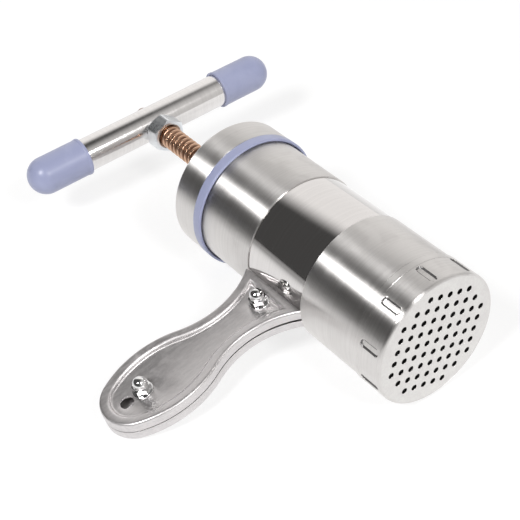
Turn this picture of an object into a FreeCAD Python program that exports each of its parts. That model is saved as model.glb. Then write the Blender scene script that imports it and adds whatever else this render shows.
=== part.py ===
"""Hand press for pasta: a threaded T-handle drives a piston down a steel barrel and
pushes dough through a perforated mould cup. The press lies on its side, +X along the
barrel towards the mould, +Z up, with the origin at the centre of the mould's face.
Lengths are in millimetres."""
import FreeCAD, Part
import math
import os

V = FreeCAD.Vector
AXIS = V(1, 0, 0)

# Barrel, from the mould's face back towards the T-handle
MOULD_LENGTH = 16.1
BAND_FRONT = 49.5
BAND_BACK = 85.8
RING_FRONT = 119.5
CAP_FRONT = 124.5
CAP_BACK = 140.0

# Radii of the barrel's visible skins
SLEEVE_R = 31.0
BAND_R = 30.1
CAP_R = 32.5
SHEET = 0.8
CYLINDER_INNER_R = 27.0
CYLINDER_WALL = 1.0
SEAM_GAP = 0.3

# Mould: a square grid of holes clipped to a circle, and crimps round its side
MOULD_PLATE = 1.0
HOLE_PITCH = 5.5
HOLE_R = 1.38
HOLE_FIELD_R = 25.4
HOLE_GRID_TURN = -15.2
CRIMP_COUNT = 10
CRIMP_FIRST = 16.0
CRIMP_FRONT = 1.9
CRIMP_LENGTH = 10.2
CRIMP_WIDTH = 3.3
CRIMP_DEPTH = 0.55

# Lead nut, swaged into the cap's hole
CAP_HOLE_R = 8.0
SWAGE_R = 9.6
SWAGE_HEIGHT = 1.4
FLANGE_R = 14.0
FLANGE_THICKNESS = 2.0
BUSH_R = 9.0
BUSH_REACH = 10.0

# Lead screw and the T-handle at its end
SCREW_R = 5.6
JOURNAL_R = 4.0
JOURNAL_TIP = 2.4
TENON_R = 5.0
RIVET_R = 3.6
RIVET_HEIGHT = 1.6
RIVET_TAPER = 0.9
BEAM_X = -208.6
BEAM_R = 8.4
BEAM_WALL = 1.2
BEAM_HALF = 62.4
BEAM_TURN = 3.85
GRIP_R = 8.95
GRIP_MOUTH = 36.3
GRIP_END = 71.6
GRIP_LIP = 0.25
GRIP_LIP_LENGTH = 1.4
GRIP_LIP_TAPER = 0.4
NUT_FLATS = 16.0
NUT_HEIGHT = 8.2

# Piston, at half of its stroke
PISTON_FRONT = -54.0
PISTON_R = 26.93
PISTON_LENGTH = 11.0
PLATE_THICKNESS = 3.0
PLATE_EDGE = 2.0
GUIDE_WIDTH = 4.5
RUNNING_GAP = 0.05
HUB_R = 10.0
HUB_LENGTH = 10.0
HUB_FLANGE_R = 15.0
HUB_FLANGE_THICKNESS = 2.0
HUB_POCKET_R = 8.0
HUB_BEARING = 6.0
CLIP_R = 6.6
CLIP_GAP = 1.0
CLIP_THICKNESS = 1.0
GROOVE_DEPTH = 0.8
SHOULDER_GAP = 0.6

# Side handle: two pressed shells, face to face on a plane through the barrel's axis
HANDLE_X = -68.7
HANDLE_HALF_DEPTH = 5.3
HANDLE_TIP = 119.3
RIM_WIDTH = 3.4
RIM_SLOPE = 0.9
RIM_ROUNDING = 1.2
PANEL_DROP = 1.7
SCREW_STATIONS = (37.9, 99.9)
HANG_HOLE_STATION = 108.2
HANG_HOLE_R = 2.85
FASTENER_R = 2.0
FASTENER_GAP = 0.1
BRACKET_WIDTH = 14.0
BRACKET_SHEET = 1.3
BRACKET_MARGIN = 7.0
SPACER_R = 4.0
WASHER_R = 4.5
WASHER_THICKNESS = 0.8
SCREW_HEAD_R = 3.9
SCREW_HEAD_HEIGHT = 2.4
SCREW_HEAD_ROUNDING = 1.2
CAP_NUT_FLATS = 7.0
CAP_NUT_HEIGHT = 3.2
DOME_R = 3.2
DOME_MIDDLE = 4.0
SCREW_END = 4.8
# outline in half widths: a waist, a widest place, and a round end
WAIST_STATION = 55.0
WAIST_HALF = 9.95
WIDEST_STATION = 90.5
WIDEST_HALF = 16.9
END_R = 13.6

CYLINDER_OUTER_R = CYLINDER_INNER_R + CYLINDER_WALL
THREAD_CLEAR_R = CYLINDER_OUTER_R + 0.7
SHELL_END = RING_FRONT + 2.4
CAP_INSIDE = -CAP_BACK + SHEET
HUB_BACK = PISTON_FRONT - PLATE_THICKNESS - HUB_LENGTH
SHOULDER_X = HUB_BACK - SHOULDER_GAP
CLIP_X = HUB_BACK + HUB_BEARING + CLIP_GAP
PANEL_HEIGHT = HANDLE_HALF_DEPTH - PANEL_DROP
PANEL_INSIDE = PANEL_HEIGHT - SHEET

# The handle droops until its tip stands on the table beside the cap's rim
CONTACT_RHO = HANDLE_TIP - RIM_ROUNDING
HANDLE_DROOP = math.degrees(
    math.asin(CAP_R / math.hypot(CONTACT_RHO, HANDLE_HALF_DEPTH))
    - math.atan2(HANDLE_HALF_DEPTH, CONTACT_RHO)
)


def turned(*corners):
    """Solid of revolution about the barrel's axis.

    Each corner is (x, r) or (x, r, rounding)."""
    count = len(corners)
    points = [V(c[0], 0, c[1]) for c in corners]
    starts, ends, arcs = [], [], []
    for i, corner in enumerate(corners):
        here = points[i]
        rounding = corner[2] if len(corner) > 2 else 0
        if not rounding:
            starts.append(here)
            ends.append(here)
            arcs.append(None)
            continue
        back = (points[i - 1] - here).normalize()
        ahead = (points[(i + 1) % count] - here).normalize()
        half = back.getAngle(ahead) / 2
        reach = rounding / math.tan(half)
        middle = here + (back + ahead).normalize() * (rounding / math.sin(half) - rounding)
        starts.append(here + back * reach)
        ends.append(here + ahead * reach)
        arcs.append(Part.Arc(starts[-1], middle, ends[-1]).toShape())
    edges = []
    for i in range(count):
        if arcs[i]:
            edges.append(arcs[i])
        nxt = starts[(i + 1) % count]
        if ends[i].distanceToPoint(nxt) > 1e-6:
            edges.append(Part.LineSegment(ends[i], nxt).toShape())
    face = Part.Face(Part.Wire(Part.__sortEdges__(edges)))
    return face.revolve(V(0, 0, 0), AXIS, 360)


def ring(x_low, x_high, inner, outer):
    """Plain tube along the barrel's axis."""
    return turned((x_low, inner), (x_high, inner), (x_high, outer), (x_low, outer))


def rod(x_low, x_high, radius):
    """Plain cylinder along the barrel's axis."""
    return Part.makeCylinder(radius, x_high - x_low, V(x_low, 0, 0), AXIS)


def hexagon(across_flats, height, base, direction):
    """Hexagonal prism whose axis starts at base."""
    circle_r = across_flats / math.sqrt(3)
    corners = [
        V(circle_r * math.cos(math.radians(60 * i)), circle_r * math.sin(math.radians(60 * i)), 0)
        for i in range(7)
    ]
    prism = Part.Face(Part.makePolygon(corners)).extrude(V(0, 0, height))
    prism.Placement = FreeCAD.Placement(base, FreeCAD.Rotation(V(0, 0, 1), direction))
    return prism


def chamfered_nut(across_flats, height, base, direction):
    """Hexagon whose corners are cut back by a 30 degree cone at both ends."""
    corner_r = across_flats / math.sqrt(3)
    flat_r = across_flats / 2
    drop = (corner_r - flat_r) * math.tan(math.radians(30))
    prism = hexagon(across_flats, height, V(0, 0, 0), V(0, 0, 1))
    outline = Part.makePolygon([V(0, 0, 0), V(flat_r, 0, 0), V(corner_r, 0, drop),
                                V(corner_r, 0, height - drop), V(flat_r, 0, height),
                                V(0, 0, height), V(0, 0, 0)])
    cone = Part.Face(outline).revolve(V(0, 0, 0), V(0, 0, 1), 360)
    nut = prism.common(cone)
    nut.Placement = FreeCAD.Placement(base, FreeCAD.Rotation(V(0, 0, 1), direction))
    return nut


def around_axis(shape, degrees):
    """Copy of a shape turned about the barrel's axis."""
    copy = shape.copy()
    copy.rotate(V(0, 0, 0), AXIS, degrees)
    return copy


def dough_cylinder():
    """Inner tube that holds the dough, with its mouths lightly rounded."""
    front = -MOULD_PLATE - 0.4
    back = -CAP_BACK + 6.0
    return turned((front, CYLINDER_INNER_R, 0.3), (back, CYLINDER_INNER_R, 0.3),
                  (back, CYLINDER_OUTER_R), (front, CYLINDER_OUTER_R))


def barrel_shell():
    """Polished outer tube, bare between the two sleeves, where the handle joins it."""
    return ring(-SHELL_END, -MOULD_LENGTH - SEAM_GAP, BAND_R - SHEET, BAND_R)


def sleeve(x_low, x_high):
    """Brushed sleeve pressed over the shell, its edges eased."""
    return turned((x_low, BAND_R), (x_high, BAND_R), (x_high, SLEEVE_R, 0.35), (x_low, SLEEVE_R, 0.35))


def spacer_ring(x_low, x_high):
    """Moulded ring that centres the dough cylinder in the shell."""
    return ring(x_low, x_high, CYLINDER_OUTER_R, BAND_R - SHEET)


def crimp_tool(radius, depth, growth=0.0):
    """Rounded bar along X at the top of the barrel, from radius - depth to radius."""
    half = CRIMP_WIDTH / 2 + growth
    x_low = -CRIMP_FRONT - CRIMP_LENGTH - growth
    x_high = -CRIMP_FRONT + growth
    bottom = radius - depth
    left = V(x_low + half, 0, bottom)
    right = V(x_high - half, 0, bottom)
    sides = [
        Part.LineSegment(left + V(0, half, 0), right + V(0, half, 0)).toShape(),
        Part.Arc(right + V(0, half, 0), right + V(half, 0, 0), right - V(0, half, 0)).toShape(),
        Part.LineSegment(right - V(0, half, 0), left - V(0, half, 0)).toShape(),
        Part.Arc(left - V(0, half, 0), left - V(half, 0, 0), left + V(0, half, 0)).toShape(),
    ]
    return Part.Face(Part.Wire(sides)).extrude(V(0, 0, depth + 2))


def crimp_angles():
    """Turns about X that carry a crimp from the top of the barrel to each place."""
    step = 360 / CRIMP_COUNT
    return [90 - CRIMP_FIRST - step * i for i in range(CRIMP_COUNT)]


def mould_holes():
    """Centres of the mould's holes in its own square grid, clipped to a circle."""
    reach = int(HOLE_FIELD_R / HOLE_PITCH) + 1
    turn = math.radians(HOLE_GRID_TURN)
    centres = []
    for row in range(-reach, reach + 1):
        for column in range(-reach, reach + 1):
            y, z = column * HOLE_PITCH, row * HOLE_PITCH
            if math.hypot(y, z) > HOLE_FIELD_R:
                continue
            centres.append((y * math.cos(turn) - z * math.sin(turn),
                            y * math.sin(turn) + z * math.cos(turn)))
    return centres


def mould_cup():
    """Drawn cup with a perforated floor and pressed crimps that lock its thread ring."""
    inner = SLEEVE_R - SHEET
    cup = turned((0, 0), (0, SLEEVE_R, 1.3), (-MOULD_LENGTH, SLEEVE_R), (-MOULD_LENGTH, inner),
                 (-MOULD_PLATE, inner, 0.5), (-MOULD_PLATE, 0))
    lumps = crimp_tool(inner, CRIMP_DEPTH, -0.3)
    lump = lumps.common(rod(-MOULD_LENGTH, 0, inner + 0.1))
    pocket = crimp_tool(SLEEVE_R, CRIMP_DEPTH)
    cup = cup.fuse([around_axis(lump, a) for a in crimp_angles()])
    cup = cup.cut([around_axis(pocket, a) for a in crimp_angles()])
    drills = [Part.makeCylinder(HOLE_R, MOULD_PLATE + 2, V(-MOULD_PLATE - 1, y, z), AXIS)
              for y, z in mould_holes()]
    return cup.cut(drills)


def mould_thread_ring():
    """Moulded ring inside the mould cup that screws onto the dough cylinder."""
    outer = SLEEVE_R - SHEET
    collar = turned((-MOULD_LENGTH + 0.4, THREAD_CLEAR_R, 0.3), (-MOULD_LENGTH + 0.4, outer),
                    (-MOULD_PLATE - 0.5, outer), (-MOULD_PLATE - 0.5, THREAD_CLEAR_R))
    notch = crimp_tool(outer, CRIMP_DEPTH + 0.05, -0.25)
    return collar.cut([around_axis(notch, a) for a in crimp_angles()])


def top_cap():
    """Drawn cap over the barrel's upper end, with a hole for the lead nut."""
    inner = CAP_R - SHEET
    return turned((-CAP_FRONT, CAP_R, 0.3), (-CAP_BACK, CAP_R, 1.6), (-CAP_BACK, CAP_HOLE_R),
                  (CAP_INSIDE, CAP_HOLE_R), (CAP_INSIDE, inner, 0.8), (-CAP_FRONT, inner))


def cap_thread_ring():
    """Moulded ring: its flange shows under the cap, its collar screws onto the cylinder."""
    web_front = -CAP_FRONT + 1.8
    back = -CAP_BACK + 3.2
    mouth = SLEEVE_R + 0.45
    flange = CAP_R + 0.1
    collar = CAP_R - SHEET
    return turned((-RING_FRONT, mouth, 0.3), (-RING_FRONT, flange, 0.6), (-CAP_FRONT, flange, 0.3),
                  (-CAP_FRONT, collar), (back, collar), (back, THREAD_CLEAR_R),
                  (web_front, THREAD_CLEAR_R), (web_front, mouth))


def lead_nut():
    """Threaded bush, flanged inside the cap and swaged over outside it."""
    bore = SCREW_R + RUNNING_GAP
    back = -CAP_BACK - SWAGE_HEIGHT
    flange_front = CAP_INSIDE + FLANGE_THICKNESS
    front = CAP_INSIDE + BUSH_REACH
    return turned((back, bore), (back, SWAGE_R, 0.8), (-CAP_BACK, SWAGE_R), (-CAP_BACK, CAP_HOLE_R),
                  (CAP_INSIDE, CAP_HOLE_R), (CAP_INSIDE, FLANGE_R), (flange_front, FLANGE_R, 0.5),
                  (flange_front, BUSH_R), (front, BUSH_R, 0.8), (front, bore))


def lead_screw():
    """Screw: tenon through the beam, plain thread cylinder, journal in the piston."""
    back = BEAM_X - BEAM_R
    rivet = back - RIVET_HEIGHT
    nut_back = BEAM_X + BEAM_R
    groove = JOURNAL_R - GROOVE_DEPTH
    groove_front = CLIP_X + CLIP_THICKNESS
    tip = CLIP_X + JOURNAL_TIP
    return turned((rivet, 0), (rivet, RIVET_R, 0.5), (back + RIVET_TAPER, TENON_R), (nut_back, TENON_R),
                  (nut_back, SCREW_R), (SHOULDER_X, SCREW_R, 0.5), (SHOULDER_X, JOURNAL_R),
                  (CLIP_X, JOURNAL_R), (CLIP_X, groove), (groove_front, groove),
                  (groove_front, JOURNAL_R), (tip, JOURNAL_R, 0.6), (tip, 0))


def along_beam(shape):
    """Carry a shape made along +Y at the origin onto the T-handle's beam."""
    shape.translate(V(BEAM_X, 0, 0))
    shape.rotate(V(0, 0, 0), AXIS, BEAM_TURN)
    return shape


def beam():
    """Polished tube of the T-handle, drilled through for the screw's tenon."""
    tube = Part.makeCylinder(BEAM_R, 2 * BEAM_HALF, V(0, -BEAM_HALF, 0), V(0, 1, 0))
    bore = Part.makeCylinder(BEAM_R - BEAM_WALL, 2 * BEAM_HALF, V(0, -BEAM_HALF, 0), V(0, 1, 0))
    return along_beam(tube.cut(bore)).cut(rod(BEAM_X - 20, BEAM_X + 20, TENON_R))


def grip_cap(side):
    """Soft cap with a domed end over one end of the beam. side is +1 or -1 along Y."""
    along = V(0, 1, 0)
    lip = GRIP_R + GRIP_LIP
    dome = GRIP_END - GRIP_R
    sleeve_part = Part.makeCylinder(GRIP_R, dome - GRIP_MOUTH, V(0, GRIP_MOUTH, 0), along)
    round_end = Part.makeSphere(GRIP_R, V(0, dome, 0), along)
    band = Part.makeCylinder(lip, GRIP_LIP_LENGTH, V(0, GRIP_MOUTH, 0), along)
    taper = Part.makeCone(lip, GRIP_R, GRIP_LIP_TAPER, V(0, GRIP_MOUTH + GRIP_LIP_LENGTH, 0), along)
    bore = Part.makeCylinder(BEAM_R, BEAM_HALF - GRIP_MOUTH, V(0, GRIP_MOUTH, 0), along)
    cap = sleeve_part.fuse([round_end, band, taper]).removeSplitter().cut(bore)
    if side < 0:
        cap.rotate(V(0, 0, 0), AXIS, 180)
    return along_beam(cap)


def locking_nut():
    """Hexagon nut that locks the beam to the screw."""
    start = BEAM_X + BEAM_R
    nut = chamfered_nut(NUT_FLATS, NUT_HEIGHT, V(start, 0, 0), AXIS)
    return nut.cut(rod(start - 1, start + NUT_HEIGHT + 1, SCREW_R))


def piston_plate():
    """Steel disc that pushes the dough, seated in the guide ring."""
    back = PISTON_FRONT - PLATE_THICKNESS
    edge = PISTON_R - PLATE_EDGE
    return turned((PISTON_FRONT, 0), (PISTON_FRONT, edge, 0.5), (back, edge), (back, 0))


def piston_guide():
    """Moulded guide ring with a lip behind the plate's edge."""
    plate_back = PISTON_FRONT - PLATE_THICKNESS
    back = PISTON_FRONT - PISTON_LENGTH
    edge = PISTON_R - PLATE_EDGE
    inner = PISTON_R - GUIDE_WIDTH
    return turned((PISTON_FRONT, edge), (PISTON_FRONT, PISTON_R, 0.6), (back, PISTON_R, 0.6),
                  (back, inner), (plate_back, inner), (plate_back, edge))


def piston_hub():
    """Bearing bush on the plate's back: the screw's journal turns in it."""
    front = PISTON_FRONT - PLATE_THICKNESS
    flange_back = front - HUB_FLANGE_THICKNESS
    pocket = HUB_BACK + HUB_BEARING
    bore = JOURNAL_R + RUNNING_GAP
    return turned((HUB_BACK, bore), (HUB_BACK, HUB_R, 0.6), (flange_back, HUB_R),
                  (flange_back, HUB_FLANGE_R, 0.5), (front, HUB_FLANGE_R), (front, HUB_POCKET_R),
                  (pocket, HUB_POCKET_R), (pocket, bore))


def retaining_clip():
    """Clip in the journal's groove that pulls the piston back with the screw."""
    return ring(CLIP_X, CLIP_X + CLIP_THICKNESS, JOURNAL_R - GROOVE_DEPTH, CLIP_R)


def outline_circles():
    """Centre and radius of the waist, shoulder and end circles, each tangent to the next.

    Centres are (half width, distance from the barrel's axis)."""
    end = (0.0, HANDLE_TIP - END_R)
    run = end[1] - WIDEST_STATION
    shoulder_r = (run ** 2 + WIDEST_HALF ** 2 - END_R ** 2) / (2 * (WIDEST_HALF - END_R))
    shoulder = (WIDEST_HALF - shoulder_r, WIDEST_STATION)
    run = WIDEST_STATION - WAIST_STATION
    rise = shoulder[0] - WAIST_HALF
    waist_r = (run ** 2 + rise ** 2 - shoulder_r ** 2) / (2 * (shoulder_r + rise))
    waist = (WAIST_HALF + waist_r, WAIST_STATION)
    return (waist, waist_r), (shoulder, shoulder_r), (end, END_R)


def on_circle(centre, radius, towards):
    """Point of a circle on the ray from its centre towards another point."""
    span = math.hypot(towards[0] - centre[0], towards[1] - centre[1])
    return (centre[0] + radius * (towards[0] - centre[0]) / span,
            centre[1] + radius * (towards[1] - centre[1]) / span)


def arc_edge(side, centre, radius, start, end):
    """Short arc of a circle between two of its points, drawn on one side of the handle."""
    middle = on_circle(centre, radius, ((start[0] + end[0]) / 2, (start[1] + end[1]) / 2))
    points = [V(HANDLE_X + side * half, -rho, 0) for half, rho in (start, middle, end)]
    return Part.Arc(*points).toShape()


def handle_outline(inset, root):
    """Closed wire of the handle's side view in the plane z = 0.

    The handle runs along -Y, and the wire is drawn inset from the outer edge."""
    (waist, waist_r), (shoulder, shoulder_r), (end, end_r) = outline_circles()
    waist_r += inset
    shoulder_r -= inset
    end_r -= inset
    root += inset
    corner = (waist[0] - math.sqrt(waist_r ** 2 - (waist[1] - root) ** 2), root)
    neck = on_circle(waist, waist_r, shoulder)
    hip = on_circle(shoulder, shoulder_r, end)
    tip = (0.0, end[1] + end_r)
    edges = []
    for side in (1, -1):
        edges.append(arc_edge(side, waist, waist_r, corner, neck))
        edges.append(arc_edge(side, shoulder, shoulder_r, neck, hip))
        edges.append(arc_edge(side, end, end_r, hip, tip))
    edges.append(Part.LineSegment(V(HANDLE_X - corner[0], -root, 0),
                                  V(HANDLE_X + corner[0], -root, 0)).toShape())
    return Part.Wire(Part.__sortEdges__(edges))


def slab(wire, low, high):
    """Prism between two heights over a wire in the plane z = 0."""
    face = Part.Face(wire)
    face.translate(V(0, 0, low))
    return face.extrude(V(0, 0, high - low))


def barrel_skins():
    """Space that the band and the upper sleeve take from the handle's root."""
    return [rod(-CAP_BACK, 0, BAND_R), rod(-CAP_BACK, -BAND_BACK + 0.1, SLEEVE_R + 0.1)]


def handle_pin(station, low, high, radius):
    """Cylinder across the handle at one distance from the barrel's axis."""
    return Part.makeCylinder(radius, high - low, V(HANDLE_X, -station, low), V(0, 0, 1))


def sunken(root, growth, panel, top):
    """Solid of the panel's hollow, whose flanks slope down from the rim."""
    low = handle_outline(RIM_WIDTH + RIM_SLOPE - growth, root)
    high = handle_outline(RIM_WIDTH - growth, root)
    low.translate(V(0, 0, panel))
    high.translate(V(0, 0, top))
    return Part.makeLoft([low, high], True, True)


def front_shell():
    """Pressed shell: a raised rim round a sunken panel, open towards its twin."""
    root = BAND_R - 1.2
    top = HANDLE_HALF_DEPTH
    outer = slab(handle_outline(0, root), 0, top)
    rim_edges = [e for e in outer.Edges
                 if abs(e.BoundBox.ZMin - top) < 1e-3 and e.BoundBox.YLength > 1]
    outer = outer.makeFillet(RIM_ROUNDING, rim_edges)
    pocket = sunken(root, 0, PANEL_HEIGHT, top)
    cavity = slab(handle_outline(SHEET, root), -1, top - SHEET)
    raised = sunken(root, SHEET, PANEL_INSIDE, top)
    shell = outer.cut(pocket).cut(cavity.cut(raised))
    holes = [handle_pin(s, -1, top + 1, FASTENER_R + FASTENER_GAP) for s in SCREW_STATIONS]
    holes.append(handle_pin(HANG_HOLE_STATION, -1, top + 1, HANG_HOLE_R))
    return shell.cut(holes + barrel_skins())


def back_shell():
    """The same pressing, turned over behind the front shell."""
    shell = front_shell()
    return shell.mirror(V(0, 0, 0), V(0, 0, 1))


def handle_bracket():
    """Channel welded to the band: its two ears lie inside the shells."""
    reach = SCREW_STATIONS[0] + BRACKET_MARGIN
    low_x = HANDLE_X - BRACKET_WIDTH / 2
    gap = PANEL_INSIDE - BRACKET_SHEET
    block = Part.makeBox(BRACKET_WIDTH, reach - BAND_R + 2, 2 * PANEL_INSIDE,
                         V(low_x, -reach, -PANEL_INSIDE))
    hollow = Part.makeBox(BRACKET_WIDTH, reach - BAND_R - BRACKET_SHEET, 2 * gap,
                          V(low_x, -reach, -gap))
    channel = block.cut(hollow)
    hole = handle_pin(SCREW_STATIONS[0], -HANDLE_HALF_DEPTH, HANDLE_HALF_DEPTH,
                      FASTENER_R + FASTENER_GAP)
    return channel.cut([hole, rod(-CAP_BACK, 0, BAND_R)])


def handle_spacer():
    """Tube that keeps the shells apart at the outer screw."""
    tube = handle_pin(SCREW_STATIONS[1], -PANEL_INSIDE, PANEL_INSIDE, SPACER_R)
    bore = handle_pin(SCREW_STATIONS[1], -PANEL_INSIDE, PANEL_INSIDE, FASTENER_R + FASTENER_GAP)
    return tube.cut(bore)


def handle_washer(station):
    """Flat washer under a cap nut."""
    top = PANEL_HEIGHT + WASHER_THICKNESS
    disc = handle_pin(station, PANEL_HEIGHT, top, WASHER_R)
    return disc.cut(handle_pin(station, PANEL_HEIGHT, top, FASTENER_R + FASTENER_GAP))


def handle_screw(station):
    """Pan-head screw from the back, its end inside the cap nut."""
    bottom = -PANEL_HEIGHT - SCREW_HEAD_HEIGHT
    end = PANEL_HEIGHT + WASHER_THICKNESS + SCREW_END
    head = handle_pin(station, bottom, -PANEL_HEIGHT, SCREW_HEAD_R)
    rim = [e for e in head.Edges if abs(e.BoundBox.ZMax - bottom) < 1e-3]
    head = head.makeFillet(SCREW_HEAD_ROUNDING, rim)
    return head.fuse(handle_pin(station, -PANEL_HEIGHT, end, FASTENER_R)).removeSplitter()


def handle_cap_nut(station):
    """Hexagon with a dome over the screw's end."""
    seat = V(HANDLE_X, -station, PANEL_HEIGHT + WASHER_THICKNESS)
    up = V(0, 0, 1)
    nut = chamfered_nut(CAP_NUT_FLATS, CAP_NUT_HEIGHT, seat, up)
    post = Part.makeCylinder(DOME_R, DOME_MIDDLE, seat, up)
    dome = Part.makeSphere(DOME_R, seat + up * DOME_MIDDLE)
    blind = Part.makeCylinder(FASTENER_R, SCREW_END + FASTENER_GAP, seat, up)
    return nut.fuse([post, dome]).removeSplitter().cut(blind)


def drooped(shapes):
    """Turn handle pieces about the barrel's axis to their place."""
    group = Part.makeCompound(shapes) if len(shapes) > 1 else shapes[0]
    return around_axis(group, HANDLE_DROOP)


def assembly():
    """Every piece of the press under its node's name."""
    collar = 7.0
    return {
        "dough_cylinder": dough_cylinder(),
        "barrel_shell": barrel_shell(),
        "lower_sleeve": sleeve(-BAND_FRONT, -MOULD_LENGTH - SEAM_GAP),
        "upper_sleeve": sleeve(-SHELL_END, -BAND_BACK),
        "lower_spacer_ring": spacer_ring(-MOULD_LENGTH - SEAM_GAP - collar, -MOULD_LENGTH - SEAM_GAP),
        "upper_spacer_ring": spacer_ring(-SHELL_END, -SHELL_END + collar),
        "handle_bracket": drooped([handle_bracket()]),
        "handle_front_shell": drooped([front_shell()]),
        "handle_back_shell": drooped([back_shell()]),
        "handle_spacer": drooped([handle_spacer()]),
        "handle_washers": drooped([handle_washer(s) for s in SCREW_STATIONS]),
        "handle_screws": drooped([handle_screw(s) for s in SCREW_STATIONS]),
        "handle_cap_nuts": drooped([handle_cap_nut(s) for s in SCREW_STATIONS]),
        "mould_cup": mould_cup(),
        "mould_thread_ring": mould_thread_ring(),
        "top_cap": top_cap(),
        "cap_thread_ring": cap_thread_ring(),
        "lead_nut": lead_nut(),
        "lead_screw": lead_screw(),
        "handle_beam": beam(),
        "near_grip_cap": grip_cap(-1),
        "far_grip_cap": grip_cap(1),
        "locking_nut": locking_nut(),
        "retaining_clip": retaining_clip(),
        "piston_plate": piston_plate(),
        "piston_guide": piston_guide(),
        "piston_hub": piston_hub(),
    }


os.makedirs("parts", exist_ok=True)
for name, shape in assembly().items():
    shape.exportStep("parts/" + name + ".step")
    solids = len(shape.Solids)
    print(name, "valid" if shape.isValid() else "INVALID", solids, round(shape.Volume, 1))
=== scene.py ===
# %% [markdown]
# # A hand press for pasta
# The press lies on a white sweep: a steel barrel with a perforated mould at one end, a cap
# with a long screw and a T-handle at the other, and a pressed steel handle at its side.
# The imported model is loaded first and never moved.

import math

import bmesh
import bpy
from bmesh.types import BMEdge, BMFace, BMVert
from mathutils import Matrix, Quaternion, Vector


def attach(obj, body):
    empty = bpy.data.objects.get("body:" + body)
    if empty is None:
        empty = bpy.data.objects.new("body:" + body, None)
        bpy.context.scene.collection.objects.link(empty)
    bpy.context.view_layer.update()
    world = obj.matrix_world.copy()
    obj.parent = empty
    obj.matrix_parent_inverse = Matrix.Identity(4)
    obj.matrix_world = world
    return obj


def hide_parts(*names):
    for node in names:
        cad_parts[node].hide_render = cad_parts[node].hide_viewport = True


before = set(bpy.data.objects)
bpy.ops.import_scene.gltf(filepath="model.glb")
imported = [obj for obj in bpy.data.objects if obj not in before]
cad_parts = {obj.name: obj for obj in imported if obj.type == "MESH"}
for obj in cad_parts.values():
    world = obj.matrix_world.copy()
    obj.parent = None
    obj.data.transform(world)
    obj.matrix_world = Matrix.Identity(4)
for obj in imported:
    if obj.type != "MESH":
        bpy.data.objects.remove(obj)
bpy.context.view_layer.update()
scene = bpy.context.scene
scene.view_settings.view_transform = "Standard"
print("nodes in the frame:", len(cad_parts))

# %% [markdown]
# ## The camera
# The photograph looks down at the press from beyond the mould, a little to the handle's
# side. The camera is placed by its turn round the press, its height above the horizon, a
# small roll, and the point that it looks at. A long lens keeps the far end large.

# %% Camera
MM = 0.001
AZIMUTH = math.radians(54.67)
ELEVATION = math.radians(39.48)
ROLL = math.radians(-2.81)
AIM = Vector((-75.7, -31.1, 10.1)) * MM
DISTANCE = 517 * MM
SENSOR_WIDTH = 36.0
LENS = 84.56

away = Vector((math.sin(AZIMUTH) * math.cos(ELEVATION),
               -math.cos(AZIMUTH) * math.cos(ELEVATION),
               math.sin(ELEVATION)))
camera = bpy.data.objects.new("camera", bpy.data.cameras.new("camera"))
scene.collection.objects.link(camera)
camera.data.sensor_width = SENSOR_WIDTH
camera.data.lens = LENS
camera.location = AIM + away * DISTANCE
camera.rotation_mode = "QUATERNION"
camera.rotation_quaternion = (-away).to_track_quat("-Z", "Y") @ Quaternion((0, 0, 1), ROLL)
scene.camera = camera
print("camera stands at", [round(value, 3) for value in camera.location])

# %% [markdown]
# ## Node trees in few lines
# Every sky, finish and effect below is a small tree of shader nodes. The first helper adds
# one node and sets its inputs: a plain value goes into the socket, and a socket of another
# node is linked to it. The others answer with a result, so a recipe reads as a list of steps.

# %% Helpers: shader nodes
def add_node(tree, kind, inputs=None, **settings):
    """One shader node, its settings made and its inputs filled or linked."""
    node = tree.nodes.new(kind)
    for name, value in settings.items():
        setattr(node, name, value)
    for name, value in (inputs or {}).items():
        socket = node.inputs[name]
        if isinstance(value, bpy.types.NodeSocket):
            tree.links.new(value, socket)
        else:
            socket.default_value = value
    return node


def math_node(tree, operation, *values):
    """The result socket of one Math node."""
    return add_node(tree, "ShaderNodeMath", dict(enumerate(values)), operation=operation).outputs[0]


def vector_node(tree, operation, *values):
    """The first result socket of one Vector Math node that answers with a vector."""
    return add_node(tree, "ShaderNodeVectorMath", dict(enumerate(values)), operation=operation).outputs[0]


def measure_node(tree, operation, *values):
    """The result of one Vector Math node that answers with a number."""
    node = add_node(tree, "ShaderNodeVectorMath", dict(enumerate(values)), operation=operation)
    return node.outputs["Value"]


def axis_node(tree, place, axis):
    """One of the three numbers of a place."""
    return add_node(tree, "ShaderNodeSeparateXYZ", {0: place}).outputs[axis]


def noise_node(tree, place, scale, detail=2.0, **more):
    """The grey value of a noise texture."""
    inputs = {"Vector": place, "Scale": scale, "Detail": detail, **more}
    return add_node(tree, "ShaderNodeTexNoise", inputs).outputs["Fac"]


def ramp_node(tree, value, start, end, low=0.0, high=1.0):
    """A soft step of a value from low at start to high at end."""
    inputs = {"Value": value, "From Min": start, "From Max": end, "To Min": low, "To Max": high}
    return add_node(tree, "ShaderNodeMapRange", inputs, interpolation_type="SMOOTHSTEP").outputs["Result"]


print("node helpers ready")

# %% [markdown]
# ## The sky of the studio
# Bare metal shows its surroundings, so the room matters more than the steel's own colour.
# The real set has a white sweep that rises behind the press, a dim room behind the camera
# and paler walls beyond the mould. A picture of a room could do this, but no file may be
# read, so the sky is worked out from directions: a patch is bright where the ray's
# direction lies close to the patch's middle. Only the camera sees plain white instead.

# %% World
SWEEP = {"middle": (-0.70, 0.65, 0.30), "edge": (0.55, 0.85), "light": 1.02}
WALL = {"middle": (0.76, 0.50, 0.41), "edge": (0.40, 1.0), "light": 0.62}
ROOM_LIGHT = 0.075
ROOM_COLOUR = (1.0, 0.985, 0.97, 1.0)
WHITE = (1.0, 1.0, 1.0, 1.0)


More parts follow.
